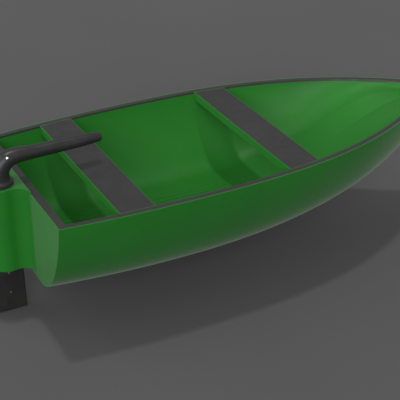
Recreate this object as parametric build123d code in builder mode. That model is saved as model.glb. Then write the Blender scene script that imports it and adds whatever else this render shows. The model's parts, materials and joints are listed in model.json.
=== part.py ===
from build123d import *

import os
from math import cos, radians, sin, sqrt, tan

# Moulded square-stern tender, about 2.8 m long, with a rudder that turns in a trunk on the transom.
#
# Frame: +X to the bow, +Y to port, +Z up, in millimetres. The origin is under the middle of the
# overall length and beam, at the level of the rudder blade's bottom edge. Stations are distances
# forward of the transom's outer face, and depths are measured down from the rail's top face.

os.makedirs("parts", exist_ok=True)

# ---------------------------------------------------------------- driving dimensions
# hull
hull_length = 2821.0  # transom to the stem's sharp tip, at the rail
half_beam = 636.0  # largest half beam
half_beam_transom = 0.91667 * half_beam
beam_station = 0.29848 * hull_length  # where the hull is widest
bow_fullness = 2.75  # power of the plan curve forward of the widest station
hull_depth = 564.0  # largest depth
transom_depth = 530.0
depth_station = 0.32152 * hull_length  # where the hull is deepest
forefoot_power = 1.86  # power of the keel curve forward of the deepest station
skin = 6.0  # hull wall
stem_cut = 18.0  # the stem's blunt end, back from the tip
hull_shape = ((1.0, 0.0), (0.973, 0.292), (0.747, 1.0), (0.393, 1.0))  # curve handles, rail to bottom
hull_sections = (0, 0.09, 0.18, 0.29, 0.40, 0.51, 0.62, 0.72, 0.81, 0.88, 0.935, 0.97, 1)
section_rise = 20.0  # forms run this far above the rail before they are cut level

# liner
rail_width = 39.0
transom_rail_width = 48.0
liner_wall = 4.0
floor_depth = 434.0
ramp_start = 0.49805 * hull_length  # the bow ramp's foot
ramp_end = 0.93194 * hull_length  # the bow ramp's head
ramp_head_depth = 50.0
crease_start = 0.73733 * hull_length  # where the ramp starts to fold to a V
crease_growth = 250.0  # the V is full this far forward of where it starts
crease_angle = 13.0  # slope of each side of the V, in degrees
floor_fall = 0.02  # share of that slope with which the level floor drains to the middle
liner_bow_gap = 150.0  # from the liner's forward end to the stem's tip
liner_shape = ((1.0, 0.0), (0.975, 0.33), (0.80, 1.0), (0.47, 1.0))
liner_steps = 16  # sections in the liner's loft, less one

# rails and fender
rail_height = 12.0
bow_cap_length = 147.0
fender_wall = 10.0
fender_length = 150.0
fender_height = 150.0

# thwarts
thwart_width = 202.0
thwart_depth = 48.0
thwart_wall = 5.0
aft_thwart_station = 338.0  # aft edge
forward_thwart_station = 1372.0  # aft edge
seat_top_height = 4.0
seat_lip = 3.0
cleat_width = 130.0
cleat_reach = 70.0
thwart_screw_radius = 3.0
thwart_screw_head_radius = 6.0
thwart_screw_head = 3.0
thwart_screw_bite = 3.5  # into the beam's top plate
thwart_screw_pitch = 60.0
thwart_screw_reach = 40.0  # from the beam's end

# floor panel
panel_start = 110.0
panel_end = 1500.0
panel_half_width_aft = 214.0
panel_half_width_forward = 107.0
panel_height = 6.0
panel_edge = 2.0

# bearers between hull and liner
floor_bearer_start = 330.0
floor_bearer_end = 1380.0
floor_bearer_offset = 95.0
bow_bearer_start = 1960.0
bow_bearer_end = 2420.0
bearer_width = 50.0

# bilge runners
runner_start = 420.0
runner_end = 1900.0
runner_offset = 190.0
runner_width = 36.0
runner_height = 14.0
runner_screw_radius = 2.5
runner_screw_head_radius = 5.0
runner_screw_head = 3.0
runner_screw_length = 22.0
runner_screw_count = 5
runner_screw_margin = 80.0

# rudder trunk
axis_offset = 115.5  # from the transom back to the steering axis
boss_radius = 101.0
boss_fillet = 74.0
boss_wall = 8.0
boss_floor = 12.0
boss_roof = 20.0
boss_rise = 11.0  # boss top above the rail
boss_depth = 495.0
tube_radius = 27.0
tube_wall = 3.0
tube_flange_radius = 50.0
tube_flange = 4.0
bush_flange_radius = 42.0
bush_flange = 3.0
bush_length = 45.0

# steering gear
stock_radius = 18.0
spigot_radius = 13.0
spigot_length = 250.0
stock_rise = 105.0  # stock top above the rail
washer_radius = 41.0
washer_height = 2.5
cap_radius = 81.0
cap_height = 11.0
cap_screw_circle = 62.0
cap_screw_radius = 2.5
cap_screw_head_radius = 5.0
cap_screw_head = 3.0
cap_screw_length = 22.0
cap_screw_count = 4
cap_screw_turn = 45.0  # first screw, from forward

# tiller
skirt_radius = 79.0
skirt_height = 8.0
neck_radius = 62.0
neck_rise = 52.0  # end of the upright neck, above the rail
bend_radius = 104.0
bend_radii = (58.5, 54.0, 49.0, 45.0)  # outside radius at each quarter of the bend
arm_stations = ((68.0, 39.8), (228.0, 36.7), (392.0, 32.6), (454.0, 28.5))  # place and radius
arm_end = 488.0  # station of the tip
arm_tip_radius = 26.5
arm_tip_round = 12.0
core_radius = 18.0
core_start = 45.0  # forward of the steering axis
core_end_wall = 28.0
pin_radius = 4.0
pin_length = 84.0
pin_rise = 80.0
core_screw_radius = 2.5
core_screw_head_radius = 6.5
core_screw_head = 3.0
core_screw_length = 36.0
core_screw_station = -55.0
core_screw_turn = 52.0  # from straight up, towards starboard
core_screw_depth = 41.0  # head's seat from the arm's centre line

# rudder blade
blade_lead = 91.0  # forward of the axis
blade_trail = 143.0  # aft of the axis
blade_thickness = 40.0
blade_bottom_depth = 808.0
blade_top_gap = 6.0  # below the boss
blade_taper_start = 30.0  # aft of the axis
blade_tail_thickness = 14.0
blade_nose_round = 9.0
blade_edge = 1.5
blade_bolt_radius = 4.0
blade_bolt_head_radius = 7.5
blade_bolt_head = 4.0
blade_bolt_nut_radius = 7.5
blade_bolt_first = 55.0  # below the blade's top
blade_bolt_pitch = 130.0
blade_bolt_count = 2

# drain
drain_offset = 250.0  # to port of the centreline
drain_radius = 17.0
drain_wall = 3.5
drain_flange_radius = 30.0
drain_flange = 3.0
drain_above_floor = 24.0
drain_screw_circle = 23.5
drain_screw_radius = 2.0
drain_screw_head_radius = 3.5
drain_screw_head = 1.5
drain_screw_count = 3
drain_screw_end = 4.5  # past the transom's outer face
plug_length = 26.0
plug_head_radius = 17.0
plug_head = 4.0
plug_grip_radius = 9.0
plug_grip = 14.0
seal_radius = 17.0
seal_height = 1.5

# bow eye
eye_depth = 190.0
eye_shank_radius = 5.0
eye_bore_radius = 8.0
eye_rim = 6.0
eye_thickness = 10.0
eye_plate_radius = 15.0
eye_plate_height = 4.0
eye_bore_height = 16.0  # bore's centre above the hull
eye_backing_radius = 20.0
eye_backing_height = 4.0
eye_nut_radius = 9.0
eye_nut_height = 7.0
eye_thread = 3.0  # past the nut

# clearances
seat_gap = 0.3  # between pieces that are fitted and stay put
running_gap = 0.05  # radial, shaft in bush
face_gap = 0.05  # between flat faces that slide on each other
swing_gap = 0.5  # between faces that pass each other without touching
edge_break = 1.0

# ---------------------------------------------------------------- places worked out from them
sheer = blade_bottom_depth
stem_end = hull_length - stem_cut
front = stem_end + fender_wall
rear = -(axis_offset + blade_trail)
middle = (front + rear) / 2
axis_x = -axis_offset - middle
boss_top = sheer + boss_rise
boss_bottom = sheer - boss_depth
floor_level = sheer - floor_depth
rail_bottom = sheer - rail_height
tube_bore = tube_radius - tube_wall
stock_bore = stock_radius + running_gap
bush_radius = tube_bore - seat_gap
washer_bottom = boss_top + bush_flange + face_gap
head_bottom = washer_bottom + washer_height
cap_top = boss_top + cap_height
skirt_bottom = cap_top + swing_gap
neck_top = sheer + neck_rise
arm_level = neck_top + bend_radius
stock_top = sheer + stock_rise
blade_top = boss_bottom - blade_top_gap
drain_z = floor_level + drain_above_floor
drain_bore = drain_radius - drain_wall
core_length = arm_end - core_end_wall + axis_offset - core_start
eye_shank_length = skin + eye_backing_height + eye_nut_height + eye_thread
very_large = 2 * hull_length
upward = (Align.CENTER, Align.CENTER, Align.MIN)
downward = (Align.CENTER, Align.CENTER, Align.MAX)
forward = (Align.MIN, Align.CENTER, Align.CENTER)
aftward = (Align.MAX, Align.CENTER, Align.CENTER)


def at(station):
    """X of a station."""
    return station - middle


def hull_half_beam(station):
    """Half beam of the outer hull at the rail."""
    if station < beam_station:
        share = (beam_station - station) / beam_station
        return half_beam - (half_beam - half_beam_transom) * share**2
    share = (station - beam_station) / (hull_length - beam_station)
    return half_beam * (1 - share**bow_fullness)


def hull_keel(station):
    """Depth of the outer hull on the centreline."""
    if station < depth_station:
        share = (depth_station - station) / depth_station
        return hull_depth - (hull_depth - transom_depth) * share**2
    share = (station - depth_station) / (hull_length - depth_station)
    return hull_depth * sqrt(1 - share**forefoot_power)


def liner_keel(station):
    """Depth of the liner on the centreline: a level floor, then a ramp to the bow."""
    share = (station - ramp_start) / (ramp_end - ramp_start)
    share = min(max(share, 0.0), 1.0)
    ramp = share**2 * (3 - 2 * share)
    return floor_depth - (floor_depth - ramp_head_depth) * ramp


def section(width, depth, shape, fold=0.0):
    """A closed cross-section, running up past the rail. fold lifts the bottom's corners."""
    lift = min(fold, 0.5 * depth)
    port = [(width * y, sheer - depth * z + lift * z) for y, z in shape]
    starboard = [(-y, z) for y, z in reversed(port)]
    with BuildSketch(Plane.XY) as outline:
        with BuildLine():
            Bezier(*port)
            Polyline(port[-1], (0, sheer - depth), starboard[0])
            Bezier(*starboard)
            Polyline(
                starboard[-1],
                (-width, sheer + section_rise),
                (width, sheer + section_rise),
                port[0],
            )
        make_face()
    return outline.sketch


def hull_form(inset):
    """The hull's outer form taken in by inset, solid, cut level at the rail."""
    end = stem_end - inset
    with BuildPart() as form:
        for share in hull_sections:
            station = inset + share * (end - inset)
            with BuildSketch(Plane.YZ.offset(at(station))):
                add(section(hull_half_beam(station) - inset, hull_keel(station) - inset, hull_shape))
        loft()
        split(bisect_by=Plane.XY.offset(sheer), keep=Keep.BOTTOM)
    return form.part


def liner_form(growth):
    """The liner's inner form grown by growth, solid, cut level at the rail."""
    start = transom_rail_width - growth
    end = hull_length - liner_bow_gap + growth
    with BuildPart() as form:
        for step in range(liner_steps + 1):
            station = start + step / liner_steps * (end - start)
            width = hull_half_beam(station) - rail_width + growth
            share = min(max((station - crease_start) / crease_growth, floor_fall), 1.0)
            fold = tan(radians(crease_angle)) * share * width * liner_shape[-1][0]
            with BuildSketch(Plane.YZ.offset(at(station))):
                add(section(width, liner_keel(station) + growth, liner_shape, fold))
        loft()
        split(bisect_by=Plane.XY.offset(sheer), keep=Keep.BOTTOM)
    return form.part


def boss_profile(inset, reach):
    """Plan of the rudder boss, taken in by inset and reaching forward to a station."""
    radius = boss_radius - inset
    side = sqrt((boss_radius + boss_fillet) ** 2 - (axis_offset - boss_fillet) ** 2)
    centre = Vector(axis_x, 0)
    fillet_centre = Vector(at(-boss_fillet), side)
    touch = centre + (fillet_centre - centre).normalized() * radius
    root = fillet_centre + Vector(boss_fillet + inset, 0)
    halfway = (touch - fillet_centre).normalized() + Vector(1, 0)
    halfway = fillet_centre + halfway.normalized() * (boss_fillet + inset)
    with BuildSketch(Plane.XY) as profile:
        with BuildLine():
            ThreePointArc(root, halfway, touch)
            ThreePointArc(touch, centre - Vector(radius, 0), (touch.X, -touch.Y))
            ThreePointArc((touch.X, -touch.Y), (halfway.X, -halfway.Y), (root.X, -root.Y))
            Polyline((root.X, -root.Y), (at(reach), -root.Y), (at(reach), root.Y), (root.X, root.Y))
        make_face()
    return profile.sketch


def stretch(start, end):
    """Centre x and length between two stations."""
    return (at(start) + at(end)) / 2, end - start


def save(piece, name):
    """Label a finished piece and write it."""
    piece.part.label = name
    export_step(piece.part, f"parts/{name}.step")


# ---------------------------------------------------------------- shared forms
hull_outer = hull_form(0)
hull_cavity = hull_form(skin)
hull_fit = hull_form(skin + seat_gap)
hull_clear = hull_form(-seat_gap)
liner_inner = liner_form(0)
liner_outer = liner_form(liner_wall)
liner_clear = liner_form(liner_wall + seat_gap)
liner_fit = liner_form(-seat_gap)
recess_form = liner_form(-seat_gap - seat_lip)
seat_form = liner_form(-2 * seat_gap - seat_lip)
boss_plan = boss_profile(0, skin)
boss_inside = boss_profile(boss_wall, skin + boss_wall)
boss_clear = boss_profile(-seat_gap, skin + seat_gap)

# the bow eye sits square on the stem, eye_depth below the rail
eye_share = (1 - (eye_depth / hull_depth) ** 2) ** (1 / forefoot_power)
eye_station = depth_station + (hull_length - depth_station) * eye_share
eye_slope = (hull_keel(eye_station - 1) - hull_keel(eye_station + 1)) / 2
eye_normal = Vector(eye_slope, 0, -1).normalized()
eye_plane = Plane(origin=(at(eye_station), 0, sheer - eye_depth), x_dir=(0, 1, 0), z_dir=eye_normal)

# the drain's frame looks aft, out of the transom
drain_plane = Plane(origin=(at(0), drain_offset, drain_z), x_dir=(0, 1, 0), z_dir=(-1, 0, 0))
drain_inner = transom_rail_width + seat_gap

# the core screw's seat on the tiller's bend
bend_share = (axis_offset + core_screw_station) / bend_radius
bend_turn = sqrt(1 - (1 - bend_share) ** 2)
bend_point = Vector(at(core_screw_station), 0, neck_top + bend_radius * bend_turn)
bend_out = Vector(bend_share - 1, 0, bend_turn)
screw_normal = bend_out * cos(radians(core_screw_turn)) + Vector(0, -sin(radians(core_screw_turn)), 0)
screw_plane = Plane(
    origin=bend_point + screw_normal * core_screw_depth,
    x_dir=bend_out.cross(Vector(0, 1, 0)),
    z_dir=screw_normal,
)

# the runner screws' heads, under the flat of the bottom
runner_screw_span = runner_end - runner_start - 2 * runner_screw_margin
runner_screw_places = []
for step in range(runner_screw_count):
    station = runner_start + runner_screw_margin + step * runner_screw_span / (runner_screw_count - 1)
    head_level = sheer - hull_keel(station) - runner_height + edge_break
    runner_screw_places.append((at(station), -runner_offset, head_level))
    runner_screw_places.append((at(station), runner_offset, head_level))

# ---------------------------------------------------------------- hull
with BuildPart() as hull_shell:
    add(hull_outer)
    with BuildSketch(Plane.XY.offset(boss_bottom)):
        add(boss_plan)
    extrude(amount=boss_top - boss_bottom)
    add(hull_cavity, mode=Mode.SUBTRACT)
    with BuildSketch(Plane.XY.offset(boss_bottom + boss_floor)):
        add(boss_inside)
    extrude(amount=boss_top - boss_roof - boss_bottom - boss_floor, mode=Mode.SUBTRACT)
    with Locations((axis_x, 0, boss_bottom)):
        Cylinder(tube_radius + seat_gap, boss_top - boss_bottom, align=upward, mode=Mode.SUBTRACT)
    with Locations(drain_plane):
        Cylinder(drain_radius + seat_gap, 4 * skin, mode=Mode.SUBTRACT)
        with PolarLocations(drain_screw_circle, drain_screw_count):
            Cylinder(drain_screw_radius + running_gap, 2 * drain_screw_end, mode=Mode.SUBTRACT)
    with Locations(eye_plane):
        Cylinder(eye_shank_radius + seat_gap, 6 * skin, mode=Mode.SUBTRACT)
    with Locations((axis_x, 0, boss_top)):
        with PolarLocations(cap_screw_circle, cap_screw_count, cap_screw_turn):
            Cylinder(cap_screw_radius, 2 * (cap_screw_length - cap_height), mode=Mode.SUBTRACT)
    with Locations(*runner_screw_places):
        Cylinder(runner_screw_radius, runner_screw_length + runner_height, align=upward, mode=Mode.SUBTRACT)
save(hull_shell, "hull_shell")

with BuildPart() as inner_liner:
    add(hull_fit)
    with Locations((0, 0, rail_bottom)):
        Box(very_large, very_large, liner_wall, align=downward, mode=Mode.INTERSECT)
    add(liner_outer)
    with Locations((0, 0, rail_bottom)):
        Box(very_large, very_large, 2 * rail_height, align=upward, mode=Mode.SUBTRACT)
    add(liner_inner, mode=Mode.SUBTRACT)
    with BuildSketch(Plane.XY.offset(boss_bottom)):
        add(boss_clear)
    extrude(amount=boss_top - boss_bottom, mode=Mode.SUBTRACT)
    with Locations(drain_plane):
        Cylinder(drain_radius + seat_gap, 4 * transom_rail_width, mode=Mode.SUBTRACT)
save(inner_liner, "inner_liner")

# ---------------------------------------------------------------- rails, cap and fender
with BuildPart() as gunwale:
    add(hull_fit)
    with Locations((0, 0, rail_bottom)):
        Box(very_large, very_large, 2 * rail_height, align=upward, mode=Mode.INTERSECT)
    with BuildSketch(Plane.XY.offset(rail_bottom)):
        add(boss_clear)
    extrude(amount=2 * rail_height, mode=Mode.SUBTRACT)

rail_start = at(transom_rail_width)
cap_start = at(stem_end - bow_cap_length)

with BuildPart() as transom_rail:
    add(gunwale.part)
    with Locations((rail_start, 0, sheer)):
        Box(very_large, very_large, very_large, align=aftward, mode=Mode.INTERSECT)
save(transom_rail, "transom_rail")

with BuildPart() as bow_cap:
    add(gunwale.part)
    with Locations((cap_start, 0, sheer)):
        Box(very_large, very_large, very_large, align=forward, mode=Mode.INTERSECT)
save(bow_cap, "bow_cap")

with BuildPart() as side_rails:
    add(gunwale.part)
    with Locations((rail_start + seat_gap, 0, sheer)):
        Box(cap_start - rail_start - 2 * seat_gap, very_large, very_large, align=forward, mode=Mode.INTERSECT)
    add(liner_inner, mode=Mode.SUBTRACT)

with BuildPart() as port_rail:
    add(side_rails.part.solids().sort_by(Axis.Y)[-1])
save(port_rail, "port_rail")

with BuildPart() as starboard_rail:
    add(side_rails.part.solids().sort_by(Axis.Y)[0])
save(starboard_rail, "starboard_rail")

with BuildPart() as bow_fender:
    add(hull_form(-fender_wall))
    with Locations((at(front), 0, sheer)):
        Box(
            fender_length,
            very_large,
            2 * fender_height,
            align=aftward,
            mode=Mode.INTERSECT,
        )
    add(hull_clear, mode=Mode.SUBTRACT)
save(bow_fender, "bow_fender")

# ---------------------------------------------------------------- thwarts
beam_top = sheer - seat_top_height
beam_bottom = sheer - thwart_depth
cleat_height = beam_top - thwart_wall - beam_bottom


def thwart_half_length(station):
    """Half the clear length between the rails at the middle of a thwart."""
    return hull_half_beam(station + thwart_width / 2) - rail_width


def thwart_screw_places(station):
    """Where the screws of one thwart enter the cleats, on the cleats' lower faces."""
    centre = at(station + thwart_width / 2)
    half_spread = thwart_half_length(station) - thwart_screw_reach
    half_pitch = thwart_screw_pitch / 2
    return [
        (centre + x, y, beam_bottom)
        for x in (-half_pitch, half_pitch)
        for y in (-half_spread, half_spread)
    ]


def seat_block(station, inset, form):
    """The slab that fills a thwart's recess, cut to a form at its ends."""
    centre, width = stretch(station, station + thwart_width)
    with BuildPart() as block:
        with Locations((centre, 0, beam_top)):
            Box(width - 2 * inset, very_large, seat_top_height, align=upward)
        add(form, mode=Mode.INTERSECT)
    return block.part


def thwart_beam(station):
    """A moulded thwart: a channel open downwards, with a recess for the seat top."""
    centre, width = stretch(station, station + thwart_width)
    with BuildPart() as beam:
        with Locations((centre, 0, beam_bottom)):
            Box(width, very_large, thwart_depth, align=upward)
        fillet(beam.edges().filter_by(Axis.Y).group_by(Axis.Z)[-1], edge_break)
        add(liner_fit, mode=Mode.INTERSECT)
        with Locations((centre, 0, beam_bottom)):
            Box(width - 2 * thwart_wall, very_large, cleat_height, align=upward, mode=Mode.SUBTRACT)
        add(seat_block(station, seat_lip, recess_form), mode=Mode.SUBTRACT)
        with Locations(*thwart_screw_places(station)):
            Cylinder(
                thwart_screw_radius,
                cleat_height + thwart_screw_bite + seat_gap,
                align=upward,
                mode=Mode.SUBTRACT,
            )
    return beam.part


def seat_top(station):
    """The seat's top, let into the thwart."""
    with BuildPart() as top:
        add(seat_block(station, seat_lip + seat_gap, seat_form))
        chamfer(top.edges().group_by(Axis.Z)[-1], edge_break)
    return top.part


def cleat(station, side):
    """A block bonded to the liner's wall, which carries one end of a thwart."""
    centre = at(station + thwart_width / 2)
    with BuildPart() as block:
        with Locations((centre, side * thwart_half_length(station), beam_bottom)):
            Box(cleat_width, 2 * cleat_reach, cleat_height, align=upward)
        add(liner_fit, mode=Mode.INTERSECT)
        with Locations(*thwart_screw_places(station)):
            Cylinder(thwart_screw_radius + seat_gap, cleat_height, align=upward, mode=Mode.SUBTRACT)
    return block.part


with BuildPart() as aft_thwart_beam:
    add(thwart_beam(aft_thwart_station))
save(aft_thwart_beam, "aft_thwart_beam")

with BuildPart() as forward_thwart_beam:
    add(thwart_beam(forward_thwart_station))
save(forward_thwart_beam, "forward_thwart_beam")

with BuildPart() as aft_thwart_top:
    add(seat_top(aft_thwart_station))
save(aft_thwart_top, "aft_thwart_top")

with BuildPart() as forward_thwart_top:
    add(seat_top(forward_thwart_station))
save(forward_thwart_top, "forward_thwart_top")

with BuildPart() as aft_port_cleat:
    add(cleat(aft_thwart_station, 1))
save(aft_port_cleat, "aft_port_cleat")

with BuildPart() as aft_starboard_cleat:
    add(cleat(aft_thwart_station, -1))
save(aft_starboard_cleat, "aft_starboard_cleat")

with BuildPart() as forward_port_cleat:
    add(cleat(forward_thwart_station, 1))
save(forward_port_cleat, "forward_port_cleat")

with BuildPart() as forward_starboard_cleat:
    add(cleat(forward_thwart_station, -1))
save(forward_starboard_cleat, "forward_starboard_cleat")

with BuildPart() as thwart_screws:
    with Locations(*thwart_screw_places(aft_thwart_station), *thwart_screw_places(forward_thwart_station)):
        Cylinder(thwart_screw_radius, cleat_height + thwart_screw_bite, align=upward)
        Cylinder(thwart_screw_head_radius, thwart_screw_head, align=downward)
save(thwart_screws, "thwart_screws")

# ---------------------------------------------------------------- floor panel and bearers
with BuildPart() as floor_panel:
    with BuildSketch(Plane.XY.offset(floor_level - panel_height)):
        with BuildLine():
            Polyline(
                (at(panel_start), panel_half_width_aft),
                (at(panel_end), panel_half_width_forward),
                (at(panel_end), -panel_half_width_forward),
                (at(panel_start), -panel_half_width_aft),
                close=True,
            )
        make_face()
    extrude(amount=2 * panel_height)
    chamfer(floor_panel.edges().group_by(Axis.Z)[-1], panel_edge)
    add(liner_fit, mode=Mode.INTERSECT)
save(floor_panel, "floor_panel")


def bearer(start, end, offset):
    """A foam-cored web bonded between the hull and the liner."""
    centre, length = stretch(start, end)
    with BuildPart() as web:
        with Locations((centre, offset, 0)):
            Box(length, bearer_width, very_large)
        add(hull_fit, mode=Mode.INTERSECT)
        with Locations((centre, offset, rail_bottom)):
            Box(length, bearer_width, very_large, align=upward, mode=Mode.SUBTRACT)
        add(liner_clear, mode=Mode.SUBTRACT)
    return web.part


with BuildPart() as port_floor_bearer:
    add(bearer(floor_bearer_start, floor_bearer_end, floor_bearer_offset))
save(port_floor_bearer, "port_floor_bearer")

with BuildPart() as starboard_floor_bearer:
    add(bearer(floor_bearer_start, floor_bearer_end, -floor_bearer_offset))
save(starboard_floor_bearer, "starboard_floor_bearer")

with BuildPart() as bow_bearer:
    add(bearer(bow_bearer_start, bow_bearer_end, 0))
save(bow_bearer, "bow_bearer")

# ---------------------------------------------------------------- bilge runners
runner_body = hull_form(-runner_height)


def bilge_runner(side):
    """A strip under the bilge on which the boat takes the ground."""
    centre, length = stretch(runner_start, runner_end)
    with BuildPart() as runner:
        with Locations((centre, side * runner_offset, 0)):
            Box(length, runner_width, very_large)
        add(runner_body, mode=Mode.INTERSECT)
        add(hull_clear, mode=Mode.SUBTRACT)
        with Locations(*runner_screw_places):
            Cylinder(runner_screw_radius + running_gap, 2 * runner_height, mode=Mode.SUBTRACT)
            Cylinder(runner_screw_head_radius + seat_gap, 2 * runner_screw_head, mode=Mode.SUBTRACT)
    return runner.part


with BuildPart() as port_bilge_runner:
    add(bilge_runner(1))
save(port_bilge_runner, "port_bilge_runner")

with BuildPart() as starboard_bilge_runner:
    add(bilge_runner(-1))
save(starboard_bilge_runner, "starboard_bilge_runner")

with BuildPart() as runner_screws:
    with Locations(*runner_screw_places):
        Cylinder(runner_screw_radius, runner_screw_length, align=upward)
        Cylinder(runner_screw_head_radius, runner_screw_head, align=upward)
save(runner_screws, "runner_screws")

# ---------------------------------------------------------------- rudder trunk
with BuildPart() as rudder_tube:
    with Locations((axis_x, 0, boss_bottom)):
        Cylinder(tube_radius, boss_top - boss_bottom, align=upward)
    with Locations((axis_x, 0, boss_bottom + boss_floor)):
        Cylinder(tube_flange_radius, tube_flange, align=upward)
    with Locations((axis_x, 0, boss_bottom)):
        Cylinder(tube_bore, boss_top - boss_bottom, align=upward, mode=Mode.SUBTRACT)
save(rudder_tube, "rudder_tube")

with BuildPart() as upper_bush:
    with Locations((axis_x, 0, boss_top)):
        Cylinder(bush_radius, bush_length, align=downward)
        Cylinder(bush_flange_radius, bush_flange, align=upward)
        Cylinder(stock_bore, 2 * bush_length, mode=Mode.SUBTRACT)
save(upper_bush, "upper_bush")

with BuildPart() as lower_bush:
    with Locations((axis_x, 0, boss_bottom)):
        Cylinder(bush_radius, bush_length, align=upward)
        Cylinder(bush_flange_radius, bush_flange, align=downward)
        Cylinder(stock_bore, 2 * bush_length, mode=Mode.SUBTRACT)
save(lower_bush, "lower_bush")

with BuildPart() as bearing_cap:
    with Locations((axis_x, 0, boss_top)):
        Cylinder(cap_radius, cap_height, align=upward)
        Cylinder(bush_flange_radius + seat_gap, 2 * cap_height, mode=Mode.SUBTRACT)
    chamfer(bearing_cap.edges().group_by(Axis.Z)[-1], edge_break)
    with Locations((axis_x, 0, cap_top)):
        with PolarLocations(cap_screw_circle, cap_screw_count, cap_screw_turn):
            Cylinder(cap_screw_radius + running_gap, 2 * cap_height, mode=Mode.SUBTRACT)
            Cylinder(cap_screw_head_radius + seat_gap, cap_screw_head, align=downward, mode=Mode.SUBTRACT)
save(bearing_cap, "bearing_cap")

with BuildPart() as cap_screws:
    with Locations((axis_x, 0, cap_top)):
        with PolarLocations(cap_screw_circle, cap_screw_count, cap_screw_turn):
            Cylinder(cap_screw_head_radius, cap_screw_head, align=downward)
            Cylinder(cap_screw_radius, cap_screw_length, align=downward)
save(cap_screws, "cap_screws")

# ---------------------------------------------------------------- steering
with BuildPart() as thrust_washer:
    with Locations((axis_x, 0, washer_bottom)):
        Cylinder(washer_radius, washer_height, align=upward)
        Cylinder(stock_radius + seat_gap, washer_height, align=upward, mode=Mode.SUBTRACT)
save(thrust_washer, "thrust_washer")

blade_bolt_places = []
for step in range(blade_bolt_count):
    blade_bolt_places.append((axis_x, 0, blade_top - blade_bolt_first - step * blade_bolt_pitch))

with BuildPart() as rudder_stock:
    with Locations((axis_x, 0, blade_top)):
        Cylinder(stock_radius, stock_top - blade_top, align=upward)
        Cylinder(spigot_radius, spigot_length, align=downward)
    with Locations((axis_x, 0, sheer + pin_rise)):
        Cylinder(pin_radius + seat_gap, 4 * stock_radius, rotation=(90, 0, 0), mode=Mode.SUBTRACT)
    with Locations(*blade_bolt_places):
        Cylinder(blade_bolt_radius + seat_gap, 4 * stock_radius, rotation=(90, 0, 0), mode=Mode.SUBTRACT)
save(rudder_stock, "rudder_stock")

head_plane = Plane(origin=(axis_x, 0, 0), x_dir=(1, 0, 0), z_dir=(0, -1, 0))
bend_centre = Vector(axis_x + bend_radius, 0, neck_top)

with BuildPart() as tiller_arm:
    # upright head: hub, skirt, flare and neck
    with BuildSketch(head_plane):
        with BuildLine():
            Polyline(
                (0, head_bottom),
                (washer_radius, head_bottom),
                (washer_radius, skirt_bottom),
                (skirt_radius, skirt_bottom),
                (skirt_radius, skirt_bottom + skirt_height),
            )
            Bezier(
                (skirt_radius, skirt_bottom + skirt_height),
                (neck_radius, skirt_bottom + skirt_height + edge_break),
                (neck_radius, neck_top),
            )
            Polyline((neck_radius, neck_top), (0, neck_top), (0, head_bottom))
        make_face()
    revolve(axis=Axis((axis_x, 0, 0), (0, 0, 1)))
    # bend and arm, one skin from the neck to the tip
    with BuildSketch(Plane.XY.offset(neck_top)):
        with Locations((axis_x, 0)):
            Circle(neck_radius)
    for step, radius in enumerate(bend_radii):
        turn = radians(90 * (step + 1) / len(bend_radii))
        outward = Vector(-cos(turn), 0, sin(turn))
        with BuildSketch(
            Plane(
                origin=bend_centre + outward * bend_radius,
                x_dir=(0, 1, 0),
                z_dir=(sin(turn), 0, cos(turn)),
            )
        ):
            Circle(radius)
    for station, radius in (*arm_stations, (arm_end, arm_tip_radius)):
        with BuildSketch(Plane(origin=(at(station), 0, arm_level), x_dir=(0, 1, 0), z_dir=(1, 0, 0))):
            Circle(radius)
    loft()
    fillet(tiller_arm.edges().group_by(Axis.X)[-1], arm_tip_round)
    # bores for the stock, its pin, the core and the core's screw
    with Locations((axis_x, 0, head_bottom)):
        Cylinder(
            stock_radius + seat_gap,
            stock_top + seat_gap - head_bottom,
            align=upward,
            mode=Mode.SUBTRACT,
        )
    with Locations((axis_x, 0, sheer + pin_rise)):
        Cylinder(
            pin_radius + seat_gap,
            pin_length + 2 * seat_gap,
            rotation=(90, 0, 0),
            mode=Mode.SUBTRACT,
        )
    with Locations((axis_x + core_start - seat_gap, 0, arm_level)):
        Cylinder(
            core_radius + seat_gap,
            core_length + 2 * seat_gap,
            rotation=(0, 90, 0),
            align=upward,
            mode=Mode.SUBTRACT,
        )
    with Locations(screw_plane):
        Cylinder(core_screw_radius + seat_gap, core_screw_length, align=downward, mode=Mode.SUBTRACT)
        Cylinder(core_screw_head_radius + seat_gap, 4 * core_screw_head, align=upward, mode=Mode.SUBTRACT)
save(tiller_arm, "tiller_arm")

with BuildPart() as tiller_core:
    with Locations((axis_x + core_start, 0, arm_level)):
        Cylinder(core_radius, core_length, rotation=(0, 90, 0), align=upward)
    with Locations(screw_plane):
        Cylinder(
            core_screw_radius,
            core_screw_length + seat_gap,
            align=downward,
            mode=Mode.SUBTRACT,
        )
save(tiller_core, "tiller_core")

with BuildPart() as core_screw:
    with Locations(screw_plane):
        Cylinder(core_screw_radius, core_screw_length, align=downward)
        Cylinder(core_screw_head_radius, core_screw_head, align=upward)
    head_circles = core_screw.edges().filter_by(GeomType.CIRCLE)
    fillet(head_circles.sort_by(Axis(screw_plane.origin, screw_normal))[-1], edge_break)
save(core_screw, "core_screw")

with BuildPart() as head_pin:
    with Locations((axis_x, 0, sheer + pin_rise)):
        Cylinder(pin_radius, pin_length, rotation=(90, 0, 0))
save(head_pin, "head_pin")

# ---------------------------------------------------------------- rudder blade
half_thickness = blade_thickness / 2
half_tail = blade_tail_thickness / 2

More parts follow.
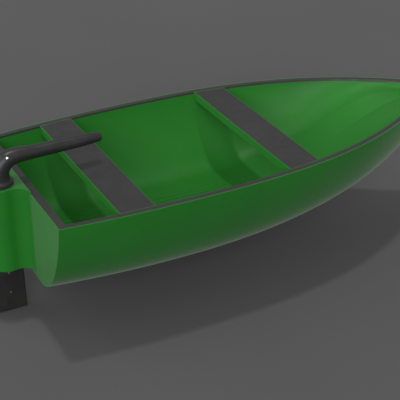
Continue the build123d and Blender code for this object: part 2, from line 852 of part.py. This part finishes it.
with BuildPart() as rudder_blade:
    with BuildSketch(Plane.XY):
        with BuildLine():
            Polyline(
                (axis_x + blade_lead, half_thickness),
                (axis_x - blade_taper_start, half_thickness),
                (axis_x - blade_trail, half_tail),
                (axis_x - blade_trail, -half_tail),
                (axis_x - blade_taper_start, -half_thickness),
                (axis_x + blade_lead, -half_thickness),
                close=True,
            )
        make_face()
    extrude(amount=blade_top)
    fillet(rudder_blade.edges().filter_by(Axis.Z).group_by(Axis.X)[-1], blade_nose_round)
    fillet(rudder_blade.edges().group_by(Axis.Z)[0] + rudder_blade.edges().group_by(Axis.Z)[-1], blade_edge)
    with Locations((axis_x, 0, blade_top)):
        Cylinder(
            spigot_radius + seat_gap,
            spigot_length + seat_gap,
            align=downward,
            mode=Mode.SUBTRACT,
        )
    with Locations(*blade_bolt_places):
        Cylinder(
            blade_bolt_radius + seat_gap,
            2 * blade_thickness,
            rotation=(90, 0, 0),
            mode=Mode.SUBTRACT,
        )
        for side in (-1, 1):
            with Locations((0, side * (half_thickness - blade_bolt_head / 2), 0)):
                Cylinder(
                    blade_bolt_head_radius + seat_gap,
                    blade_bolt_head,
                    rotation=(90, 0, 0),
                    mode=Mode.SUBTRACT,
                )
save(rudder_blade, "rudder_blade")

with BuildPart() as blade_bolts:
    with Locations(*blade_bolt_places):
        Cylinder(blade_bolt_radius, blade_thickness - blade_bolt_head, rotation=(90, 0, 0))
        with Locations((0, -half_thickness + blade_bolt_head / 2, 0)):
            Cylinder(blade_bolt_head_radius, blade_bolt_head, rotation=(90, 0, 0))
save(blade_bolts, "blade_bolts")

nut_bore = blade_bolt_radius + running_gap

with BuildPart() as blade_nuts:
    for place in blade_bolt_places:
        nut_plane = Plane(origin=place, x_dir=(1, 0, 0), z_dir=(0, 1, 0))
        with BuildSketch(nut_plane.offset(half_thickness - blade_bolt_head)):
            RegularPolygon(blade_bolt_nut_radius, 6)
            Circle(nut_bore, mode=Mode.SUBTRACT)
    extrude(amount=blade_bolt_head)
save(blade_nuts, "blade_nuts")

# ---------------------------------------------------------------- drain
with BuildPart() as drain_socket:
    with Locations(drain_plane):
        Cylinder(drain_flange_radius, drain_flange, align=upward)
        Cylinder(drain_radius, drain_inner, align=downward)
        Cylinder(drain_bore, 4 * drain_inner, mode=Mode.SUBTRACT)
        with PolarLocations(drain_screw_circle, drain_screw_count):
            Cylinder(drain_screw_radius + running_gap, 4 * drain_flange, mode=Mode.SUBTRACT)
            with Locations((0, 0, drain_flange - drain_screw_head)):
                Cylinder(
                    drain_screw_head_radius + running_gap,
                    drain_flange,
                    align=upward,
                    mode=Mode.SUBTRACT,
                )
save(drain_socket, "drain_socket")

with BuildPart() as drain_screws:
    with Locations(drain_plane):
        with PolarLocations(drain_screw_circle, drain_screw_count):
            with Locations((0, 0, drain_flange)):
                Cylinder(drain_screw_radius, drain_flange + drain_screw_end, align=downward)
                Cylinder(drain_screw_head_radius, drain_screw_head, align=downward)
save(drain_screws, "drain_screws")

seal_place = drain_flange + face_gap

with BuildPart() as drain_plug:
    with Locations(drain_plane.offset(seal_place + seal_height)):
        Cylinder(plug_head_radius, plug_head, align=upward)
        Cylinder(plug_grip_radius, plug_head + plug_grip, align=upward)
        Cylinder(drain_bore - running_gap, plug_length, align=downward)
    chamfer(drain_plug.edges().group_by(Axis.X)[0], edge_break)
    chamfer(drain_plug.edges().group_by(Axis.X)[-1], edge_break)
save(drain_plug, "drain_plug")

with BuildPart() as plug_seal:
    with Locations(drain_plane.offset(seal_place)):
        Cylinder(seal_radius, seal_height, align=upward)
        Cylinder(drain_bore + seat_gap, seal_height, align=upward, mode=Mode.SUBTRACT)
save(plug_seal, "plug_seal")

# ---------------------------------------------------------------- bow eye
eye_side_plane = Plane(origin=eye_plane.origin, x_dir=eye_normal, z_dir=(0, -1, 0))

with BuildPart() as bow_eye:
    with Locations(eye_plane):
        Cylinder(eye_plate_radius, 2 * eye_plate_height)
    add(hull_clear, mode=Mode.SUBTRACT)
    with Locations(eye_plane):
        Cylinder(eye_shank_radius, eye_shank_length, align=downward)
        Cylinder(eye_shank_radius, eye_plate_height, align=upward)
    with BuildSketch(eye_side_plane):
        with Locations((eye_bore_height, 0)):
            Circle(eye_bore_radius + eye_rim)
        with Locations((eye_bore_height / 2 + edge_break, 0)):
            Rectangle(eye_bore_height - 2 * edge_break, 2 * (eye_bore_radius + eye_rim) - eye_rim)
    extrude(amount=eye_thickness / 2, both=True)
    with BuildSketch(eye_side_plane):
        with Locations((eye_bore_height, 0)):
            Circle(eye_bore_radius)
    extrude(amount=eye_thickness, both=True, mode=Mode.SUBTRACT)
save(bow_eye, "bow_eye")

with BuildPart() as eye_backing:
    with Locations(eye_plane.offset(-skin)):
        Cylinder(eye_backing_radius, 4 * eye_backing_height)
    add(hull_fit, mode=Mode.INTERSECT)
    with Locations(eye_plane.offset(-skin - eye_backing_height)):
        Cylinder(eye_backing_radius, 4 * eye_backing_height, align=downward, mode=Mode.SUBTRACT)
    with Locations(eye_plane):
        Cylinder(eye_shank_radius + seat_gap, 2 * eye_shank_length, mode=Mode.SUBTRACT)
save(eye_backing, "eye_backing")

with BuildPart() as eye_nut:
    with BuildSketch(eye_plane.offset(-skin - eye_backing_height)):
        RegularPolygon(eye_nut_radius, 6)
        Circle(eye_shank_radius + running_gap, mode=Mode.SUBTRACT)
    extrude(amount=-eye_nut_height)
save(eye_nut, "eye_nut")
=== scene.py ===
import json
from math import atan2, hypot, pi, radians

import bpy
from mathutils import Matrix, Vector


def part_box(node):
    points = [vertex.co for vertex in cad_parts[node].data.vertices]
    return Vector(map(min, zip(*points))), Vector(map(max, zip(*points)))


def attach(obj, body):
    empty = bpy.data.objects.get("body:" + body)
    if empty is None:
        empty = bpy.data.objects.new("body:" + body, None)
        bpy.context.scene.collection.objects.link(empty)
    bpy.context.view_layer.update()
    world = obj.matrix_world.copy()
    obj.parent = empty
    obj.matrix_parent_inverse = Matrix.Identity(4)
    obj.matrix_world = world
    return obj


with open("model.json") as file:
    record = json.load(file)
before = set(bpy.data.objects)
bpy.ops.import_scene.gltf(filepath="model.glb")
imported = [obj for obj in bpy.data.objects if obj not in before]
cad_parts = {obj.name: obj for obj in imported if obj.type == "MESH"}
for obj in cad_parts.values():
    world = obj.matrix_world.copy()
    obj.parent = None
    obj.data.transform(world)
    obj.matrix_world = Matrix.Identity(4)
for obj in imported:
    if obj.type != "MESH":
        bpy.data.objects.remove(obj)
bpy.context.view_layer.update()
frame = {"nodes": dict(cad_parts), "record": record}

nodes = frame["nodes"]

# ------------------------------------------------------------------ colours, linear
GREEN = (0.0150, 0.196, 0.0165)
GREEN_DEEP = (0.0135, 0.180, 0.0150)
GREEN_WARM = (0.0185, 0.212, 0.0185)
# pale green: real scuff wear on the hull and a mottle on the thwarts; on the floor treads it is a painted
# highlight
GREEN_WORN_AND_HIGHLIGHT = (0.0420, 0.235, 0.0400)
LINER = (0.0185, 0.198, 0.0185)
LINER_DEEP = (0.0160, 0.180, 0.0160)
LINER_WARM = (0.0225, 0.215, 0.0215)
RAIL = (0.030, 0.0295, 0.029)
RAIL_DUSTY = (0.042, 0.0415, 0.041)
HELM = (0.022, 0.022, 0.023)
HELM_WORN = (0.032, 0.032, 0.032)
BLADE = (0.020, 0.020, 0.0195)
BLADE_WORN = (0.028, 0.028, 0.027)
BUSH = (0.62, 0.60, 0.55)
FOAM = (0.62, 0.55, 0.38)
ASH = (0.50, 0.34, 0.18)
STEEL = (0.60, 0.60, 0.58)
ALLOY = (0.66, 0.67, 0.69)
RUBBER = (0.018, 0.018, 0.018)
RUBBER_BLOOM = (0.05, 0.05, 0.048)
WHITE = (0.66, 0.66, 0.63)
FLOOR = (0.097, 0.096, 0.097)
FLOOR_PALE = (0.102, 0.101, 0.102)


# ------------------------------------------------------------------ materials
def new_material(name):
    """A node material with one Principled shader, ready for its pattern."""
    material = bpy.data.materials.new(name)
    material.use_nodes = True
    tree = material.node_tree
    shader = tree.nodes["Principled BSDF"]
    place = tree.nodes.new("ShaderNodeTexCoord")
    return material, tree, shader, place.outputs["Object"]


def stretched(tree, vector, scale):
    """The pattern's coordinates, drawn out along the axes."""
    mapping = tree.nodes.new("ShaderNodeMapping")
    mapping.inputs["Scale"].default_value = scale
    tree.links.new(vector, mapping.inputs["Vector"])
    return mapping.outputs["Vector"]


def noise(tree, vector, scale, detail=3.0, roughness=0.5, distortion=0.0):
    """A cloudy factor around one half."""
    node = tree.nodes.new("ShaderNodeTexNoise")
    node.inputs["Scale"].default_value = scale
    node.inputs["Detail"].default_value = detail
    node.inputs["Roughness"].default_value = roughness
    node.inputs["Distortion"].default_value = distortion
    tree.links.new(vector, node.inputs["Vector"])
    return node.outputs["Fac"]


def ramp(tree, factor, low, high, low_value=0.0, high_value=1.0):
    """Stretches a factor from low..high to low_value..high_value."""
    node = tree.nodes.new("ShaderNodeMapRange")
    node.inputs["From Min"].default_value = low
    node.inputs["From Max"].default_value = high
    node.inputs["To Min"].default_value = low_value
    node.inputs["To Max"].default_value = high_value
    tree.links.new(factor, node.inputs["Value"])
    return node.outputs["Result"]


def mixed(tree, factor, first, second):
    """One colour laid over another by a factor. Each colour is a tuple or a socket."""
    node = tree.nodes.new("ShaderNodeMix")
    node.data_type = "RGBA"
    for socket, colour in ((node.inputs[6], first), (node.inputs[7], second)):
        if isinstance(colour, tuple):
            socket.default_value = (*colour, 1.0)
        else:
            tree.links.new(colour, socket)
    tree.links.new(factor, node.inputs["Factor"])
    return node.outputs[2]


def times(tree, first, second):
    """Two factors multiplied. The second is a number or a socket."""
    node = tree.nodes.new("ShaderNodeMath")
    node.operation = "MULTIPLY"
    tree.links.new(first, node.inputs[0])
    if isinstance(second, (int, float)):
        node.inputs[1].default_value = second
    else:
        tree.links.new(second, node.inputs[1])
    return node.outputs[0]


def bumped(tree, shader, height, strength, distance, before=None):
    """Bump from a height, on top of an earlier bump if there is one."""
    node = tree.nodes.new("ShaderNodeBump")
    node.inputs["Strength"].default_value = strength
    node.inputs["Distance"].default_value = distance
    tree.links.new(height, node.inputs["Height"])
    if before is not None:
        tree.links.new(before, node.inputs["Normal"])
    tree.links.new(node.outputs["Normal"], shader.inputs["Normal"])
    return node.outputs["Normal"]


def scratches(tree, vector, scale, width):
    """Thin lines that run mostly fore and aft."""
    borders = tree.nodes.new("ShaderNodeTexVoronoi")
    borders.feature = "DISTANCE_TO_EDGE"
    borders.inputs["Scale"].default_value = scale
    tree.links.new(vector, borders.inputs["Vector"])
    return ramp(tree, borders.outputs["Distance"], 0.0, width, 1.0, 0.0)


def moulded_green(name, roughness, sheen, gloss, base=GREEN, deep=GREEN_DEEP, warm=GREEN_WARM):
    """Gel-coated moulding: slow colour drift, fine scuffs, a faint orange peel."""
    material, tree, shader, place = new_material(name)
    drift = ramp(tree, noise(tree, place, 1.7, 4.0), 0.35, 0.65)
    colour = mixed(tree, drift, deep, base)
    mottle = ramp(tree, noise(tree, place, 9.0, 6.0, 0.6), 0.52, 0.8, 0.0, 0.3)
    colour = mixed(tree, mottle, colour, warm)
    scuffed = stretched(tree, place, (0.35, 1.0, 1.6))
    lines = scratches(tree, scuffed, 22.0, 0.004)
    patches = ramp(tree, noise(tree, place, 5.0, 2.0), 0.58, 0.8)
    worn = times(tree, times(tree, lines, patches), 0.4)
    colour = mixed(tree, worn, colour, GREEN_WORN_AND_HIGHLIGHT)
    tree.links.new(colour, shader.inputs["Base Color"])
    smear = noise(tree, stretched(tree, place, (1.0, 2.0, 3.0)), 5.0, 5.0, 0.55)
    dulled = ramp(tree, smear, 0.3, 0.7, roughness - 0.03, roughness + 0.05)
    tree.links.new(dulled, shader.inputs["Roughness"])
    shader.inputs["Sheen Weight"].default_value = sheen
    shader.inputs["Sheen Roughness"].default_value = 0.35
    shader.inputs["Specular IOR Level"].default_value = gloss
    peel = noise(tree, place, 220.0, 2.0)
    first = bumped(tree, shader, peel, 0.03, 0.0003)
    fair = noise(tree, place, 5.0, 1.0)
    bumped(tree, shader, fair, 0.05, 0.004, first)
    return material


def grained_plastic(name, colour, worn, roughness, grain=900.0, strength=0.25, specks=0.25):
    """Moulded plastic with a fine leathery grain, rubbed paler in patches."""
    material, tree, shader, place = new_material(name)
    rubbed = ramp(tree, noise(tree, place, 7.0, 5.0, 0.6), 0.42, 0.72, 0.0, 0.75)
    shade = mixed(tree, rubbed, colour, worn)
    dust = ramp(tree, noise(tree, place, 160.0, 2.0), 0.62, 0.74, 0.0, specks)
    shade = mixed(tree, dust, shade, tuple(min(1.0, 1.8 * c) for c in worn))
    tree.links.new(shade, shader.inputs["Base Color"])
    sheen = noise(tree, place, 22.0, 4.0)
    dulled = ramp(tree, sheen, 0.3, 0.7, roughness - 0.07, roughness + 0.07)
    tree.links.new(dulled, shader.inputs["Roughness"])
    cells = tree.nodes.new("ShaderNodeTexVoronoi")
    cells.inputs["Scale"].default_value = grain
    tree.links.new(place, cells.inputs["Vector"])
    first = bumped(tree, shader, cells.outputs["Distance"], strength, 0.0004)
    bumped(tree, shader, noise(tree, place, 40.0, 2.0), 0.06, 0.001, first)
    return material


def metal(name, colour, roughness, brushed=(1.0, 1.0, 12.0)):
    """Brushed or polished metal with faint smears."""
    material, tree, shader, place = new_material(name)
    shader.inputs["Metallic"].default_value = 1.0
    lines = noise(tree, stretched(tree, place, brushed), 300.0, 2.0)
    tone = mixed(tree, ramp(tree, lines, 0.3, 0.7), colour, tuple(0.8 * c for c in colour))
    tree.links.new(tone, shader.inputs["Base Color"])
    smear = noise(tree, place, 60.0, 3.0)
    tree.links.new(ramp(tree, smear, 0.3, 0.7, roughness, roughness + 0.14), shader.inputs["Roughness"])
    bumped(tree, shader, lines, 0.08, 0.0002)
    return material


def rubber(name, colour):
    """Matt rubber with a pale bloom in patches."""
    material, tree, shader, place = new_material(name)
    bloom = ramp(tree, noise(tree, place, 12.0, 5.0, 0.65), 0.45, 0.75, 0.0, 0.6)
    tree.links.new(mixed(tree, bloom, colour, RUBBER_BLOOM), shader.inputs["Base Color"])
    dulled = ramp(tree, noise(tree, place, 80.0, 3.0), 0.3, 0.7, 0.55, 0.75)
    tree.links.new(dulled, shader.inputs["Roughness"])
    bumped(tree, shader, noise(tree, place, 500.0, 2.0), 0.15, 0.0004)
    return material


def timber(name, colour):
    """Straight-grained wood with its grain fore and aft."""
    material, tree, shader, place = new_material(name)
    along = stretched(tree, place, (1.0, 14.0, 14.0))
    grain = noise(tree, along, 6.0, 6.0, 0.6, 0.4)
    dark = tuple(0.62 * c for c in colour)
    tree.links.new(mixed(tree, ramp(tree, grain, 0.35, 0.65), dark, colour), shader.inputs["Base Color"])
    shader.inputs["Roughness"].default_value = 0.6
    bumped(tree, shader, grain, 0.2, 0.0008)
    return material


def foam(name, colour):
    """Closed-cell foam, darker inside its cells."""
    material, tree, shader, place = new_material(name)
    cells = tree.nodes.new("ShaderNodeTexVoronoi")
    cells.inputs["Scale"].default_value = 420.0
    tree.links.new(place, cells.inputs["Vector"])
    dark = tuple(0.7 * c for c in colour)
    tree.links.new(mixed(tree, cells.outputs["Distance"], dark, colour), shader.inputs["Base Color"])
    shader.inputs["Roughness"].default_value = 0.85
    bumped(tree, shader, cells.outputs["Distance"], 0.5, 0.001)
    return material


hull_finish = moulded_green("hull_gelcoat", 0.32, 0.27, 0.5)
liner_finish = moulded_green("liner_gelcoat", 0.50, 0.05, 0.28, LINER, LINER_DEEP, LINER_WARM)
thwart_finish = moulded_green("thwart_gelcoat", 0.46, 0.05, 0.4, LINER_WARM, LINER, GREEN_WORN_AND_HIGHLIGHT)
# the treads' pale green base is a painted highlight that draws light lines along the floor; it is not the
# moulding's own colour
tread_painted_highlight_finish = moulded_green("tread_gelcoat_painted_highlight", 0.40, 0.1, 0.4, GREEN_WORN_AND_HIGHLIGHT, LINER_WARM, GREEN_WORN_AND_HIGHLIGHT)
rail_finish = grained_plastic("rail_plastic", RAIL, RAIL_DUSTY, 0.55)
seat_finish = grained_plastic("seat_plastic", RAIL, RAIL_DUSTY, 0.6, 600.0, 0.4)
helm_finish = grained_plastic("helm_plastic", HELM, HELM_WORN, 0.38, 1400.0, 0.12, 0.1)
blade_finish = grained_plastic("blade_plastic", BLADE, BLADE_WORN, 0.42, 1200.0, 0.1, 0.1)
runner_finish = grained_plastic("runner_plastic", RAIL, RAIL_DUSTY, 0.6, 700.0, 0.3, 0.4)
bush_finish = grained_plastic("bush_acetal", BUSH, tuple(0.85 * c for c in BUSH), 0.4, 1500.0, 0.05, 0.0)
cleat_finish = grained_plastic("cleat_plastic", GREEN_DEEP, GREEN, 0.6)
plug_finish = grained_plastic("plug_plastic", WHITE, tuple(0.88 * c for c in WHITE), 0.3, 1500.0, 0.05, 0.05)
foam_finish = foam("web_foam", FOAM)
ash_finish = timber("ash", ASH)
steel_finish = metal("stainless", STEEL, 0.18)
alloy_finish = metal("stock_alloy", ALLOY, 0.26)
rubber_finish = rubber("fender_rubber", RUBBER)

finishes = {
    "hull_green": hull_finish,
    "liner_green": liner_finish,
    "thwart_green": thwart_finish,
    "rail_grey": rail_finish,
    "seat_grey": seat_finish,
    "helm_grey": helm_finish,
    "blade_grey": blade_finish,
    "runner_grey": runner_finish,
    "bush_white": bush_finish,
    "cleat_green": cleat_finish,
    "plug_white": plug_finish,
    "web_foam": foam_finish,
    "core_ash": ash_finish,
    "stainless": steel_finish,
    "stock_alloy": alloy_finish,
    "rubber_black": rubber_finish,
}

for part in frame["record"]["subparts"]:
    mesh = nodes[part["node"]].data
    mesh.materials.clear()
    mesh.materials.append(finishes[part["material_slot"]])


# ------------------------------------------------------------------ moulded treads on the floor panel, coloured pale green as a painted highlight
def start_piece(name):
    """An empty mesh object in edit mode, at the origin."""
    bpy.ops.object.select_all(action="DESELECT")
    bpy.ops.object.add(type="MESH", location=(0.0, 0.0, 0.0))
    piece = bpy.context.object
    piece.name = name
    bpy.ops.object.mode_set(mode="EDIT")
    return piece


def finish_piece(piece, finish, body, bevel):
    """Leaves edit mode, rounds the edges and gives the piece its finish and body."""
    bpy.ops.object.mode_set(mode="OBJECT")
    rounding = piece.modifiers.new("rounding", "BEVEL")
    rounding.width = bevel
    rounding.segments = 2
    rounding.limit_method = "ANGLE"
    bpy.ops.object.modifier_apply(modifier=rounding.name)
    bpy.ops.object.shade_smooth_by_angle(angle=radians(35.0))
    piece.data.materials.append(finish)
    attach(piece, body)


TREAD_WIDTH = 0.0055
TREAD_HEIGHT = 0.0036
TREAD_LIFT = 0.0008  # the treads' middle above the panel's top
TREAD_ROUNDING = 0.0012
TREAD_END_GAP = 0.012  # from a tread's end to the panel's end
TREAD_SIDE_GAP = 0.006  # from the outer tread to the panel's side
PANEL_TAPER = 0.5  # the panel's forward width as a share of its aft width
TREAD_SHARES = (-1.0, -0.72, -0.44, -0.16, 0.16, 0.44, 0.72, 1.0)  # places across the panel's half width

panel_low, panel_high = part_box("floor_panel")
tread_aft = panel_low[0] + TREAD_END_GAP
tread_forward = panel_high[0] - TREAD_END_GAP
tread_wide = panel_high[1] - TREAD_SIDE_GAP
tread_narrow = PANEL_TAPER * panel_high[1] - TREAD_SIDE_GAP
tread_middle = panel_high[2] + TREAD_LIFT

treads = start_piece("floor_treads")
for share in TREAD_SHARES:
    run = (tread_forward - tread_aft, share * (tread_narrow - tread_wide))
    bpy.ops.mesh.primitive_cube_add(
        size=1.0,
        location=(0.5 * (tread_aft + tread_forward), 0.5 * share * (tread_wide + tread_narrow), tread_middle),
        rotation=(0.0, 0.0, atan2(run[1], run[0])),
        scale=(hypot(*run), TREAD_WIDTH, TREAD_HEIGHT),
    )
finish_piece(treads, tread_painted_highlight_finish, "hull", TREAD_ROUNDING)

# ------------------------------------------------------------------ floor, light and camera
bpy.ops.object.select_all(action="DESELECT")
bpy.ops.mesh.primitive_plane_add(size=60.0, location=(0.0, 0.0, 0.0))
floor = bpy.context.object
floor.name = "floor"
floor_paint, floor_tree, floor_shader, floor_place = new_material("floor_paint")
floor_tone = ramp(floor_tree, noise(floor_tree, floor_place, 0.8, 3.0), 0.3, 0.7)
floor_tree.links.new(
    mixed(floor_tree, floor_tone, FLOOR, FLOOR_PALE),
    floor_shader.inputs["Base Color"],
)
floor_shader.inputs["Roughness"].default_value = 0.9
floor.data.materials.append(floor_paint)

world = bpy.data.worlds.new("studio")
world.use_nodes = True
world.node_tree.nodes["Background"].inputs["Color"].default_value = (1.0, 1.0, 1.0, 1.0)
world.node_tree.nodes["Background"].inputs["Strength"].default_value = 0.32
bpy.context.scene.world = world
bpy.context.scene.view_settings.view_transform = "Standard"


def soft_light(name, towards, strength, spread):
    """A wide, even light that comes from a direction."""
    bpy.ops.object.light_add(type="SUN", location=towards)
    light = bpy.context.object
    light.name = name
    light.rotation_euler = Vector(towards).to_track_quat("Z", "Y").to_euler()
    light.data.energy = strength
    light.data.angle = radians(spread)


soft_light("overhead_light", (0.05, 0.36, 6.0), 0.21 * pi, 4.0)
soft_light("front_light", (-3.0, -5.6, 3.2), 0.46 * pi, 35.0)
soft_light("stern_light", (-6.0, 1.6, 1.8), 0.44 * pi, 90.0)

bpy.ops.object.camera_add(
    location=(-2.8684, -5.1288, 3.7400),
    rotation=(radians(90.0 - 30.05), 0.0, radians(-27.78)),
)
camera = bpy.context.object
camera.name = "main_camera"
camera.data.lens = 100.0
camera.data.sensor_width = 36.0
bpy.context.scene.camera = camera
